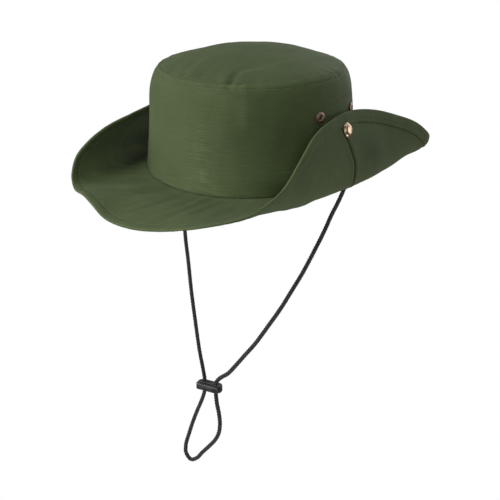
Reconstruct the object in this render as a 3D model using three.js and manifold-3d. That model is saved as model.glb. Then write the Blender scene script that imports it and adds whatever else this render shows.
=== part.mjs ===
// Safari hat: a soft cotton hat with both sides of its brim turned up and snapped to the crown, and a chin cord
// that runs through a sliding two-hole lock. Millimetres, +Z up. The wearer faces -Y, and +X is the wearer's left.
// The origin is the middle of the head opening, in the seam between crown and brim.
import * as THREE from 'three';
import { mergeVertices } from 'three/addons/utils/BufferGeometryUtils.js';
import Module from 'manifold-3d';

const wasm = await Module();
wasm.setup();

// Driving dimensions
const GAP = 0.3; // clearance between pieces that touch
const HEAD = { halfLength: 95, halfWidth: 90 }; // the oval seam between crown and brim
const CLOTH = 1.6; // wall of the crown: two layers of canvas with their turnings
const CROWN = { height: 95.5, middle: 103, sagBack: 13.5, sagRight: 3.5, seamGap: 0.35 };
const BRIM = { width: 73, thickness: 1.9, hemWidth: 11, hemExtra: 0.7, bend: 0.72, underCrown: 1.5 };
const EYELET = { hole: 4.2, barrel: 5.4, flange: 9.8, washer: 7.6, seat: 0.45, angle: 17, height: 59.2, rise: 3.3 };
const SNAP = { cap: 13, dome: 3.0, stud: 8, turn: 84.4, across: 0.805 };
const CORD = { diameter: 3.2, steps: 80, sides: 8 };
const ANCHOR = { width: 10, height: 14, thickness: 2.8, bottom: 4 };
const LOCK = {
  centre: [-56.5, 18.6, -243.5], length: 25, height: 7.3, wall: 1.2, holePitch: 12.4, hole: 4.0,
  headDepth: 2.8, stemWidth: 18, stemHeight: 4.3, stemWall: 1.2, travel: 1.0,
};
const ROUND = 72; // steps round the head

// The crown's wall from foot to tip seam: how far it has come in from the foot, its height, and its share of the sag.
const WALL_ROWS = [
  { inset: 0, height: GAP, sag: 0 },
  { inset: 0.8, height: 20, sag: 0.1 },
  { inset: 2.0, height: 45, sag: 0.3 },
  { inset: 3.2, height: 68, sag: 0.6 },
  { inset: 4.6, height: 80, sag: 0.85 },
  { inset: 7.4, height: 89.5, sag: 0.96 },
  { inset: 12.0, height: CROWN.height, sag: 1.0 },
];

// Lines across the brim, one for each turn in degrees from the front towards the wearer's left. Each line leaves the
// crown's foot, bends towards its fold corner and ends at its edge point.
const BRIM_LINES = [
  { turn: 0, edge: [0, -166, -10], fold: [0, -130, -3] },
  { turn: 12, edge: [32, -163, -4], fold: [26, -128, -2] },
  { turn: 22, edge: [61, -154, 4], fold: [47, -122, -3] },
  { turn: 31, edge: [81, -142, 11], fold: [64, -116, -4] },
  { turn: 38, edge: [89, -127, 17], fold: [79, -110, -5] },
  { turn: 46, edge: [93, -105, 25], fold: [91, -98, -7] },
  { turn: 56, edge: [94, -80, 42], fold: [102, -77, -10] },
  { turn: 66, edge: [93, -55, 56], fold: [107, -54, -10] },
  { turn: 78, edge: [92, -22, 61], fold: [112, -22, -12] },
  { turn: 90, edge: [91, 12, 59], fold: [115, 9, -15] },
  { turn: 102, edge: [94, 48, 50], fold: [117, 41, -17] },
  { turn: 114, edge: [99, 78, 38], fold: [119, 72, -17] },
  { turn: 126, edge: [106, 109, 22.5], fold: [119, 102, -14] },
  { turn: 135, edge: [110, 126, 7], fold: [113, 118, -11] },
  { turn: 145, edge: [92, 141, -3], fold: [82, 118, -5] },
  { turn: 160, edge: [56, 157, -9], fold: [44, 125, -2] },
  { turn: 180, edge: [0, 166, -10], fold: [0, 130, -2] },
  { turn: 200, edge: [-56, 157, -9], fold: [-44, 125, -2] },
  { turn: 214, edge: [-90, 141, -6], fold: [-75, 118, -3] },
  { turn: 225, edge: [-107, 122, 8], fold: [-104, 114, -5] },
  { turn: 237, edge: [-103, 98, 27], fold: [-112, 88, -8] },
  { turn: 252, edge: [-96, 60, 38], fold: [-117, 50, -11] },
  { turn: 270, edge: [-92, 10, 41], fold: [-121, 4, -14] },
  { turn: 286, edge: [-93.5, -40, 40], fold: [-121, -36, -12] },
  { turn: 300, edge: [-98, -84, 36.5], fold: [-116, -72, -9] },
  { turn: 311, edge: [-104, -113, 22.5], fold: [-110, -98, -7] },
  { turn: 318, edge: [-106, -121.5, 5.5], fold: [-103, -106, -9] },
  { turn: 323, edge: [-103, -124.5, -5], fold: [-90, -110, -7] },
  { turn: 328, edge: [-87, -135, -4], fold: [-73, -115, -4] },
  { turn: 334, edge: [-68, -150, -3], fold: [-54, -121, -2] },
  { turn: 341, edge: [-50, -158, -10], fold: [-40, -125, -3] },
  { turn: 350, edge: [-27, -164, -12], fold: [-22, -129, -3] },
];

// The cord hangs from inside the wearer's right of the crown, runs down through the lock, round its loop, up through
// the lock again and back to the wearer's left.
const CORD_ROUTE = [
  [-83.6, 19.8, 3.6], [-83.5, 18.6, -45], [-82, 17.4, -91], [-78.8, 17.3, -119], [-75.8, 17.4, -149],
  [-72, 17.7, -179], [-67.8, 18, -209], [-64.2, 18.4, -228], [-62.7, 18.6, -238], [-62.7, 18.6, -249],
  [-65.4, 18.2, -259], [-71, 17.8, -273], [-76.2, 17.5, -287], [-80.6, 17.2, -301], [-84, 17, -313],
  [-83.8, 17, -322], [-78.5, 17.2, -327.6], [-72, 17.5, -324.6], [-65.8, 18, -317], [-58.2, 18.4, -308.3],
  [-51.6, 18.8, -300], [-47.6, 19, -291.5], [-46.3, 19.1, -282], [-47.2, 19, -271], [-49.4, 18.8, -260],
  [-50.3, 18.6, -249], [-50.2, 18.6, -239], [-46.6, 19, -233.6], [-37.3, 19.8, -226], [-31, 20.1, -218.4],
  [-20.3, 20.8, -204.2], [-8.7, 21.5, -189], [4.7, 22.3, -168.3], [18, 23.1, -147], [29, 23.7, -127.2],
  [40, 24.4, -107], [52.4, 25.2, -81], [60.2, 25.6, -64], [67.6, 26.1, -46], [73.6, 26.6, -33],
  [79, 27.2, -19], [81.3, 27.8, -7], [81.4, 28, 3.6],
];

// Materials
const cloth = (color) => new THREE.MeshStandardMaterial({ color, roughness: 0.95, metalness: 0, side: THREE.DoubleSide });
const OLIVE = cloth(0x566048);
const TIP_OLIVE = cloth(0x58634a);
const BRASS = new THREE.MeshStandardMaterial({ color: 0xb08d57, roughness: 0.3, metalness: 1 });
const COPPER = new THREE.MeshStandardMaterial({ color: 0x6e4a3c, roughness: 0.45, metalness: 1 });
const PLASTIC = new THREE.MeshStandardMaterial({ color: 0x1c1c1c, roughness: 0.4, metalness: 0 });
const CORD_BLACK = new THREE.MeshStandardMaterial({ color: 0x242424, roughness: 0.9, metalness: 0 });

const radians = THREE.MathUtils.degToRad;
const ovalPoint = (turn, inset, z = 0) => new THREE.Vector3(
  (HEAD.halfWidth - inset * 0.96) * Math.sin(turn), -(HEAD.halfLength - inset * 1.08) * Math.cos(turn), z);

// Forms

/** How far the tip seam sags at a turn: towards the back, and a little towards the wearer's right. */
function sag(turn) {
  const back = Math.pow((1 - Math.cos(turn)) / 2, 1.1);
  return CROWN.sagBack * back - CROWN.sagRight * Math.sin(turn);
}

/** The crown wall's outer face; `up` runs from 0 at the foot to 1 at the tip seam. */
function wallPoint(turn, up) {
  const place = up * (WALL_ROWS.length - 1);
  const row = Math.min(Math.max(Math.floor(place), 0), WALL_ROWS.length - 2);
  const below = WALL_ROWS[row];
  const above = WALL_ROWS[row + 1];
  const mix = (name) => below[name] + (above[name] - below[name]) * (place - row);
  return ovalPoint(turn, mix('inset'), mix('height') - mix('sag') * sag(turn));
}

/** The tip's upper face; `out` runs from 0 in the middle to 1 at the seam. */
function tipPoint(turn, out) {
  const seam = wallPoint(turn, 1);
  const reach = out * (1 - CROWN.seamGap / HEAD.halfWidth);
  return new THREE.Vector3(seam.x * reach, seam.y * reach, CROWN.middle + (seam.z - CROWN.middle) * out * out);
}

/** Smooth values between the rows round the whole brim. */
function brimLine(turn) {
  const degrees = THREE.MathUtils.euclideanModulo(THREE.MathUtils.radToDeg(turn), 360);
  const count = BRIM_LINES.length;
  const row = (i) => BRIM_LINES[THREE.MathUtils.euclideanModulo(i, count)];
  const at = (i) => row(i).turn + 360 * Math.floor(i / count);
  let i = 0;
  while (i + 1 < count && row(i + 1).turn <= degrees) i += 1;
  const span = at(i + 1) - at(i);
  const t = (degrees - at(i)) / span;
  const smooth = (name) => {
    const [before, from, to, after] = [-1, 0, 1, 2].map((k) => new THREE.Vector3(...row(i + k)[name]));
    const leave = to.clone().sub(before).multiplyScalar(span / (at(i + 1) - at(i - 1)));
    const arrive = after.clone().sub(from).multiplyScalar(span / (at(i + 2) - at(i)));
    return from.multiplyScalar(2 * t ** 3 - 3 * t ** 2 + 1).addScaledVector(leave, t ** 3 - 2 * t ** 2 + t)
      .addScaledVector(to, 3 * t ** 2 - 2 * t ** 3).addScaledVector(arrive, t ** 3 - t ** 2);
  };
  return { edge: smooth('edge'), fold: smooth('fold') };
}

/** The brim's upper face; `across` runs along the cloth from 0 at the crown's foot to 1 at the edge. */
function brimPoint(turn, across) {
  if (across < 0) return ovalPoint(turn, -across * BRIM.width);
  const foot = ovalPoint(turn, 0);
  const { edge, fold } = brimLine(turn);
  const leave = foot.clone().lerp(fold, BRIM.bend);
  const arrive = edge.clone().lerp(fold, BRIM.bend);
  const line = new THREE.CubicBezierCurve3(foot, leave, arrive, edge);
  line.arcLengthDivisions = 40;
  return line.getPointAt(Math.min(across, 1));
}

/** A point lifted off a surface, away from the head and to the brim's underside, with the normal there. */
function over(surface, turn, along, lift) {
  const step = 0.002;
  const round = surface(turn + step, along).sub(surface(turn - step, along));
  const outward = surface(turn, along + step).sub(surface(turn, along - step));
  const normal = round.cross(outward).normalize();
  return { point: surface(turn, along).addScaledVector(normal, lift), normal };
}

/** A closed profile of [along, lift] points swept round the head, each point placed by a form. */
function sweptRound(profile, place) {
  const outline = profile.map(([along, lift]) => new THREE.Vector2(along + 2, lift));
  const geometry = new THREE.LatheGeometry(outline, ROUND);
  const position = geometry.attributes.position;
  for (let step = 0; step <= ROUND; step += 1) {
    const turn = (2 * Math.PI * (step % ROUND)) / ROUND;
    profile.forEach(([along, lift], j) => position.setXYZ(step * profile.length + j, ...place(turn, along, lift).toArray()));
  }
  geometry.computeVertexNormals();
  return geometry;
}

/** Joins closed geometries to the first one and cuts others out of it. */
function shaped(first, { join = [], remove = [] }) {
  const solid = (source) => {
    const bare = source.clone();
    bare.deleteAttribute('normal');
    bare.deleteAttribute('uv');
    const merged = mergeVertices(bare, 1e-4);
    const vertProperties = new Float32Array(merged.attributes.position.array);
    return new wasm.Manifold(new wasm.Mesh({ numProp: 3, vertProperties, triVerts: new Uint32Array(merged.index.array) }));
  };
  const joined = join.reduce((whole, piece) => whole.add(solid(piece)), solid(first));
  const mesh = remove.reduce((whole, cutter) => whole.subtract(solid(cutter)), joined).getMesh();
  const result = new THREE.BufferGeometry();
  result.setAttribute('position', new THREE.BufferAttribute(new Float32Array(mesh.vertProperties), 3));
  result.setIndex(new THREE.BufferAttribute(new Uint32Array(mesh.triVerts), 1));
  result.computeVertexNormals();
  return result;
}

/** A lathe turned round +Y from an outline of [radius, height] points. */
const turned = (outline, sides) => new THREE.LatheGeometry(outline.map(([r, h]) => new THREE.Vector2(r, h)), sides);

/** Turns a piece made round +Y so that it stands on a surface along its normal. */
function stand(object, point, normal) {
  object.position.copy(point);
  object.quaternion.setFromUnitVectors(new THREE.Vector3(0, 1, 0), normal);
  return object;
}

const hat = new THREE.Group();
function add(name, geometry, material, parent = hat) {
  const mesh = new THREE.Mesh(geometry, material);
  mesh.name = name;
  parent.add(mesh);
  return mesh;
}

// Crown

/** How far up the wall a height is, at a turn. */
function upTo(turn, height) {
  let [low, high] = [0, 1];
  for (let i = 0; i < 30; i += 1) {
    const middle = (low + high) / 2;
    if (wallPoint(turn, middle).z > height) high = middle;
    else low = middle;
  }
  return low;
}

// The eyelets: which side of the head they are on along X, and which end along Y.
const EYELETS = [
  { name: 'right_front', side: -1, end: -1 },
  { name: 'right_rear', side: -1, end: 1 },
  { name: 'left_front', side: 1, end: -1 },
  { name: 'left_rear', side: 1, end: 1 },
];
function eyeletSeat({ side, end }) {
  const turn = side * radians(90 + EYELET.angle * end);
  return over(wallPoint, turn, upTo(turn, EYELET.height - EYELET.rise * end), 0);
}

function crownSide() {
  const rows = WALL_ROWS.map((_, i) => i / (WALL_ROWS.length - 1));
  const outer = rows.map((up) => [up, 0]);
  const inner = rows.map((up) => [up, -CLOTH]).reverse();
  const wall = sweptRound([...outer, ...inner, outer[0]], (turn, up, lift) => {
    const { point } = over(wallPoint, turn, THREE.MathUtils.clamp(up, 0.003, 0.997), lift);
    if (up === 0) point.z = GAP;
    return point;
  });
  const drills = EYELETS.map((eyelet) => {
    const { point, normal } = eyeletSeat(eyelet);
    const radius = EYELET.barrel / 2 + GAP;
    const holder = stand(new THREE.Object3D(), point, normal);
    holder.updateMatrix();
    return new THREE.CylinderGeometry(radius, radius, 10, 20).applyMatrix4(holder.matrix);
  });
  return shaped(wall, { remove: drills });
}

function crownTip() {
  const steps = [0, 0.25, 0.5, 0.7, 0.85, 1];
  const rim = 1 - 1.5 * CLOTH / HEAD.halfWidth;
  const lower = steps.map((out) => [out * rim, -CLOTH]);
  const upper = steps.map((out) => [out, 0]).reverse();
  return sweptRound([...lower, ...upper], (turn, out, lift) => tipPoint(turn, out).add(new THREE.Vector3(0, 0, lift)));
}

function eyelet() {
  const [hole, barrel, flange, washer] = [EYELET.hole, EYELET.barrel, EYELET.flange, EYELET.washer].map((size) => size / 2);
  const inside = -CLOTH - EYELET.seat;
  return turned([
    [hole, 1.1], [hole, inside - 0.6], [washer, inside - 0.6], [washer, inside], [barrel, inside], [barrel, EYELET.seat],
    [flange, EYELET.seat], [flange, 0.9], [flange - 0.9, 1.4], [hole + 0.6, 1.6], [hole, 1.1],
  ], 20);
}

add('crown_tip', crownTip(), TIP_OLIVE);
add('crown_side', crownSide(), OLIVE);
for (const place of EYELETS) {
  const { point, normal } = eyeletSeat(place);
  stand(add(`eyelet_${place.name}`, eyelet(), COPPER), point, normal);
}

// Brim

function brim() {
  const hem = 1 - BRIM.hemWidth / BRIM.width;
  const inner = -BRIM.underCrown / BRIM.width;
  const steps = [inner, 0, 0.1, 0.18, 0.26, 0.35, 0.46, 0.62, hem - 0.01];
  const hemFace = BRIM.thickness + BRIM.hemExtra;
  const under = [...steps.map((across) => [across, BRIM.thickness]), [hem, hemFace], [1, hemFace - 0.4]];
  const upper = [[1, 0.4], [hem, 0], ...steps.map((across) => [across, 0]).reverse()];
  return sweptRound([...under, ...upper, under[0]], (turn, across, lift) => over(brimPoint, turn, Math.min(across, 0.997), lift).point);
}
add('brim', brim(), OLIVE);

// Snaps: a brass cap on the brim's outer face, and the hidden stud between brim and crown

function snapCap() {
  const radius = SNAP.cap / 2;
  const rim = 0.7;
  const outline = [[0, 0], [radius, 0]];
  for (let step = 0; step <= 4; step += 1) {
    const angle = (step / 4) * (Math.PI / 2);
    outline.push([radius * Math.cos(angle), rim + (SNAP.dome - rim) * Math.sin(angle)]);
  }
  return turned(outline, 24);
}

for (const [name, turn] of [['left', radians(SNAP.turn)], ['right', -radians(SNAP.turn)]]) {
  const outside = over(brimPoint, turn, SNAP.across, BRIM.thickness + BRIM.hemExtra + GAP); // its top lies on the hem
  stand(add(`snap_cap_${name}`, snapCap(), BRASS), outside.point, outside.normal);

  const inside = over(brimPoint, turn, SNAP.across, 0);
  const wallTurn = Math.atan2(inside.point.x / HEAD.halfWidth, -inside.point.y / HEAD.halfLength);
  const wall = over(wallPoint, wallTurn, upTo(wallTurn, inside.point.z), 0);
  const across = inside.point.clone().sub(wall.point);
  const axis = across.clone().normalize();
  const lean = ({ normal }) => SNAP.stud / 2 * Math.tan(normal.angleTo(axis)); // how far a face leans in over the stud
  const start = lean(wall) + GAP;
  const length = across.length() - start - lean(inside) - GAP;
  const stud = new THREE.CylinderGeometry(SNAP.stud / 2, SNAP.stud / 2, length, 20);
  stand(add(`snap_stud_${name}`, stud, BRASS), wall.point.clone().addScaledVector(axis, start + length / 2), axis);
}

// Chin cord and its anchors

for (const [name, end] of [['right', CORD_ROUTE[0]], ['left', CORD_ROUTE.at(-1)]]) {
  const tab = add(`cord_anchor_${name}`, new THREE.BoxGeometry(ANCHOR.thickness, ANCHOR.width, ANCHOR.height), OLIVE);
  tab.position.set(end[0], end[1], ANCHOR.bottom + ANCHOR.height / 2);
  tab.rotation.z = Math.atan2(end[1] / HEAD.halfLength ** 2, end[0] / HEAD.halfWidth ** 2);
}

function chinCord() {
  const route = new THREE.CatmullRomCurve3(CORD_ROUTE.map((point) => new THREE.Vector3(...point)), false, 'centripetal');
  route.arcLengthDivisions = 2000;
  const section = new THREE.Shape();
  for (let side = 0; side < CORD.sides; side += 1) {
    const angle = (2 * Math.PI * side) / CORD.sides;
    const spot = [CORD.diameter / 2 * Math.cos(angle), CORD.diameter / 2 * Math.sin(angle)];
    if (side === 0) section.moveTo(...spot);
    else section.lineTo(...spot);
  }
  section.closePath();
  return new THREE.ExtrudeGeometry(section, { steps: CORD.steps, extrudePath: route, bevelEnabled: false });
}
add('chin_cord', chinCord(), CORD_BLACK);

// Cord lock: the button slides along +Y into the shell, and the cord runs down through both

const lock = new THREE.Group();
lock.position.set(...LOCK.centre);
hat.add(lock);

/** A block `length` long on X, from `front` to `back` on Y, with corners rounded off by [x, y]. */
function roundedBlock(length, front, back, height, [frontX, frontY], [backX, backY]) {
  const half = length / 2;
  const outline = new THREE.Shape();
  outline.moveTo(-half + frontX, front);
  outline.lineTo(half - frontX, front);
  outline.quadraticCurveTo(half, front, half, front + frontY);
  outline.lineTo(half, back - backY);
  outline.quadraticCurveTo(half, back, half - backX, back);
  outline.lineTo(-half + backX, back);
  outline.quadraticCurveTo(-half, back, -half, back - backY);
  outline.lineTo(-half, front + frontY);
  outline.quadraticCurveTo(-half, front, -half + frontX, front);
  return new THREE.ExtrudeGeometry(outline, { depth: height, bevelEnabled: false, curveSegments: 6 }).translate(0, 0, -height / 2);
}

/** The two cord holes, drawn out along -Y by `slot`. */
function cordHoles(slot) {
  return [-1, 1].flatMap((side) => {
    const x = side * LOCK.holePitch / 2;
    const bore = (y) => new THREE.CylinderGeometry(LOCK.hole / 2, LOCK.hole / 2, 20, 20).rotateX(Math.PI / 2).translate(x, y, 0);
    if (slot === 0) return [bore(0)];
    return [bore(0), bore(-slot), new THREE.BoxGeometry(LOCK.hole, slot, 20).translate(x, -slot / 2, 0)];
  });
}

/** A box that runs along Y from `front` to `back`. */
const boxAlongY = (width, front, back, height) => new THREE.BoxGeometry(width, back - front, height).translate(0, (front + back) / 2, 0);

const shellFront = -LOCK.hole / 2 - LOCK.wall;
const stemBack = LOCK.hole / 2 + LOCK.stemWall;
const pocketBack = stemBack + LOCK.travel + GAP;
const shellBack = pocketBack + LOCK.wall;
const shell = roundedBlock(LOCK.length, shellFront, shellBack, LOCK.height, [0.9, 0.6], [6.4, 5.2]);
const pocket = boxAlongY(LOCK.stemWidth + 2 * GAP, shellFront - 1, pocketBack, LOCK.stemHeight + 2 * GAP);
add('cord_lock_shell', shaped(shell, { remove: [pocket, ...cordHoles(0)] }), PLASTIC, lock);

const headBack = shellFront - LOCK.travel - GAP;
const head = roundedBlock(LOCK.length - 0.6, headBack - LOCK.headDepth, headBack, LOCK.height - 0.4, [6.4, 2.2], [0.9, 0.4]);
const stem = boxAlongY(LOCK.stemWidth, headBack - 1, stemBack, LOCK.stemHeight);
add('cord_lock_button', shaped(head, { join: [stem], remove: cordHoles(LOCK.travel) }), PLASTIC, lock);

export default hat;
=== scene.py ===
from bisect import bisect_right
from collections import namedtuple
from functools import lru_cache
import math

import bmesh
import bpy
from mathutils import Matrix, Vector, noise


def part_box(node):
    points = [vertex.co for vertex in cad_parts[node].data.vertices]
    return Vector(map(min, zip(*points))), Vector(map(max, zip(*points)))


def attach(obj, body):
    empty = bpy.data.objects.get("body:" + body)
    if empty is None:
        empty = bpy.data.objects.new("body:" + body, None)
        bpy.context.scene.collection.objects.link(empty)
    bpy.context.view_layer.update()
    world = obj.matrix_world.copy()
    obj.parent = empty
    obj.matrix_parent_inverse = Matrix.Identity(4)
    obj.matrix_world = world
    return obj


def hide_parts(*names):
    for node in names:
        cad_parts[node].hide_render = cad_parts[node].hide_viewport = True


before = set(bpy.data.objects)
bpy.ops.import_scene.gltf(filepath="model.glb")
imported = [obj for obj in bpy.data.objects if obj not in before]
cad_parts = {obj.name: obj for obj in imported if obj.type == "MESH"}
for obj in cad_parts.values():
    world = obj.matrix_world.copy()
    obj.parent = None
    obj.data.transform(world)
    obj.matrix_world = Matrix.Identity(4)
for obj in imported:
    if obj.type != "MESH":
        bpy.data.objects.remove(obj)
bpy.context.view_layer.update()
scene = bpy.context.scene
MM = 0.001
TAU = 2 * math.pi

# Camera
# It looks down at the front and the wearer's left side, from 1.8 m away through a long lens.
CAMERA = {
    "turn": math.radians(31), "pitch": math.radians(22.4), "distance": 1800 * MM, "lens": 144, "sensor": 36,
}
CAMERA_TARGET = Vector((-1.25, 0, -85.5)) * MM


def towards(turn, pitch):
    """The direction from the object to a point that far round from the front and that far up."""
    return Vector((math.sin(turn) * math.cos(pitch), -math.cos(turn) * math.cos(pitch), math.sin(pitch)))


camera = bpy.data.objects.new("camera", bpy.data.cameras.new("camera"))
camera.data.lens = CAMERA["lens"]
camera.data.sensor_width = CAMERA["sensor"]
camera.location = CAMERA_TARGET + towards(CAMERA["turn"], CAMERA["pitch"]) * CAMERA["distance"]
camera.rotation_euler = (math.pi / 2 - CAMERA["pitch"], 0, CAMERA["turn"])
scene.collection.objects.link(camera)
scene.camera = camera

# Chin cord
# A black laid cord of three twisted strands, sewn in inside both sides of the crown. It runs down through
# the lock, round a loop and up through the lock again. It is a little fatter where the lock has worked it
# loose. The route is the part's own, in millimetres.
CORD = {
    "diameter": 3.2, "fibres": 0.28, "strands": 3, "heart": 0.3, "lay": 8.7, "unevenness": 0.06,
    "spacing": 0.5, "points_per_span": 24, "points_per_strand": 7, "fibres_per_strand": 30,
}
SWELLING = {"at": 480, "reach": 330, "share": 0.14}
CORD_ROUTE = [
    (-83.6, 19.8, 3.6), (-83.5, 18.6, -45), (-82, 17.4, -91), (-78.8, 17.3, -119), (-75.8, 17.4, -149),
    (-72, 17.7, -179), (-67.8, 18, -209), (-64.2, 18.4, -228), (-62.7, 18.6, -238), (-62.7, 18.6, -249),
    (-65.4, 18.2, -259), (-71, 17.8, -273), (-76.2, 17.5, -287), (-80.6, 17.2, -301), (-84, 17, -313),
    (-83.8, 17, -322), (-78.5, 17.2, -327.6), (-72, 17.5, -324.6), (-65.8, 18, -317), (-58.2, 18.4, -308.3),
    (-51.6, 18.8, -300), (-47.6, 19, -291.5), (-46.3, 19.1, -282), (-47.2, 19, -271), (-49.4, 18.8, -260),
    (-50.3, 18.6, -249), (-50.2, 18.6, -239), (-46.6, 19, -233.6), (-37.3, 19.8, -226), (-31, 20.1, -218.4),
    (-20.3, 20.8, -204.2), (-8.7, 21.5, -189), (4.7, 22.3, -168.3), (18, 23.1, -147), (29, 23.7, -127.2),
    (40, 24.4, -107), (52.4, 25.2, -81), (60.2, 25.6, -64), (67.6, 26.1, -46), (73.6, 26.6, -33),
    (79, 27.2, -19), (81.3, 27.8, -7), (81.4, 28, 3.6),
]


def smooth_route(points, per_span):
    """A centripetal curve through every point."""
    ends = [points[0] * 2 - points[1], *points, points[-1] * 2 - points[-2]]
    curve = []
    for p0, p1, p2, p3 in zip(ends, ends[1:], ends[2:], ends[3:]):
        d0, d1, d2 = ((b - a).length ** 0.5 for a, b in ((p0, p1), (p1, p2), (p2, p3)))
        leave = ((p1 - p0) / d0 - (p2 - p0) / (d0 + d1) + (p2 - p1) / d1) * d1
        arrive = ((p2 - p1) / d1 - (p3 - p1) / (d1 + d2) + (p3 - p2) / d2) * d1
        squared = 3 * (p2 - p1) - 2 * leave - arrive
        cubed = 2 * (p1 - p2) + leave + arrive
        for t in (k / per_span for k in range(per_span)):
            curve.append(p1 + leave * t + squared * t**2 + cubed * t**3)
    return curve + [points[-1]]


def running_lengths(points):
    """How far along a line each of its points is."""
    lengths = [0.0]
    for a, b in zip(points, points[1:]):
        lengths.append(lengths[-1] + (b - a).length)
    return lengths


def even_steps(lengths, spacing):
    """Steps of about a spacing along a line: the stretch that each one is on, and how far along that."""
    count = round(lengths[-1] / spacing)
    i = 0
    for k in range(count + 1):
        at = lengths[-1] * k / count
        while i + 2 < len(lengths) and lengths[i + 1] < at:
            i += 1
        yield i, (at - lengths[i]) / (lengths[i + 1] - lengths[i])


def as_mesh(name, bm):
    """A new mesh from bm, which is freed."""
    mesh = bpy.data.meshes.new(name)
    bm.to_mesh(mesh)
    bm.free()
    return mesh


def add_piece(name, bm, material, body, replaces=()):
    """Makes a smooth-shaded piece from bm, in metres, hangs it on its body and hides the parts it replaces.
    """
    bmesh.ops.recalc_face_normals(bm, faces=bm.faces)
    mesh = as_mesh(name, bm)
    mesh.shade_smooth()
    mesh.materials.append(material)
    piece = bpy.data.objects.new(name, mesh)
    scene.collection.objects.link(piece)
    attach(piece, body)
    if replaces:
        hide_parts(*replaces)
    return piece


class Nodes:
    """A new material's nodes: each call adds one, sets its inputs, and links those given as sockets."""

    def __init__(self, name):
        self.material = bpy.data.materials.new(name)
        self.material.use_nodes = True
        self.tree = self.material.node_tree
        self.shader = self.tree.nodes["Principled BSDF"]

    def put(self, socket, value):
        if isinstance(value, bpy.types.NodeSocket):
            self.tree.links.new(value, socket)
        else:
            socket.default_value = value

    def add(self, kind, settings=None, **inputs):
        node = self.tree.nodes.new("ShaderNode" + kind)
        for key, value in (settings or {}).items():
            setattr(node, key, value)
        for key, value in inputs.items():
            self.put(node.inputs[key], value)
        return node

    def finish(self, **inputs):
        for key, value in inputs.items():
            self.put(self.shader.inputs[key.replace("_", " ")], value)
        return self.material

    def coordinates(self, stretch, uv=True):
        """The piece's UV or its object coordinates, stretched along each axis."""
        source = self.add("TexCoord").outputs["UV" if uv else "Object"]
        return self.add("Mapping", Vector=source, Scale=stretch).outputs["Vector"]

    def noise(self, vector, detail=2.0):
        node = self.add("TexNoise", Vector=vector, Scale=1.0, Detail=detail)
        return node.outputs["Fac"]

    def stripes(self, vector, direction, period):
        """Smooth stripes from 0 to 1 across one axis."""
        settings = {"wave_type": "BANDS", "bands_direction": direction, "wave_profile": "SIN"}
        scale = math.pi / 10 / period
        node = self.add("TexWave", settings, Vector=vector, Scale=scale, Distortion=0.0, Detail=0.0)
        return node.outputs["Fac"]

    def maths(self, operation, first, second, third=0.0):
        node = self.add("Math", {"operation": operation})
        for socket, value in zip(node.inputs, (first, second, third)):
            self.put(socket, value)
        return node.outputs["Value"]

    def ramp(self, factor, stops):
        """Colours that change with factor: stops are (place, colour)."""
        node = self.add("ValToRGB", Fac=factor)
        elements = node.color_ramp.elements
        elements[0].position, elements[1].position = stops[0][0], stops[-1][0]
        elements[0].color, elements[1].color = (*stops[0][1], 1), (*stops[-1][1], 1)
        for place, colour in stops[1:-1]:
            elements.new(place).color = (*colour, 1)
        return node.outputs["Color"]

    def bump(self, height, strength, distance):
        return self.add("Bump", Height=height, Strength=strength, Distance=distance).outputs["Normal"]


def cord_material():
    """Matt black yarn with fine fibres that run along each slanting strand."""
    nodes = Nodes("black_twisted_cord")
    place = nodes.coordinates((1, 1, 1))
    fibres = nodes.stripes(place, "X", 1 / CORD["fibres_per_strand"])
    fuzz = nodes.noise(nodes.coordinates((60, 900, 1)), 3.0)
    shade = nodes.maths("MULTIPLY_ADD", fibres, 0.35, nodes.maths("MULTIPLY", fuzz, 0.65))
    colour = nodes.ramp(shade, [(0.2, (0.003, 0.003, 0.0035)), (0.8, (0.016, 0.016, 0.017))])
    normal = nodes.bump(shade, 0.6, 0.15 * MM)
    return nodes.finish(Base_Color=colour, Roughness=0.78, Normal=normal, Sheen_Weight=0.18)


def hump(distance, width):
    """1 at no distance, falling smoothly to nearly 0 at a width's distance."""
    return math.exp(-((distance / width * 1.6) ** 2))


def strand_radius(angle, strands, radius):
    """How far a laid cord's surface is from its middle at an angle: its round strands press together."""
    across = ((angle * strands / TAU) % 1 - 0.5) * TAU / strands
    middle, strand = CORD["heart"] * radius, (1 - CORD["heart"]) * radius
    return middle * math.cos(across) + math.sqrt(strand**2 - (middle * math.sin(across)) ** 2)


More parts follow.
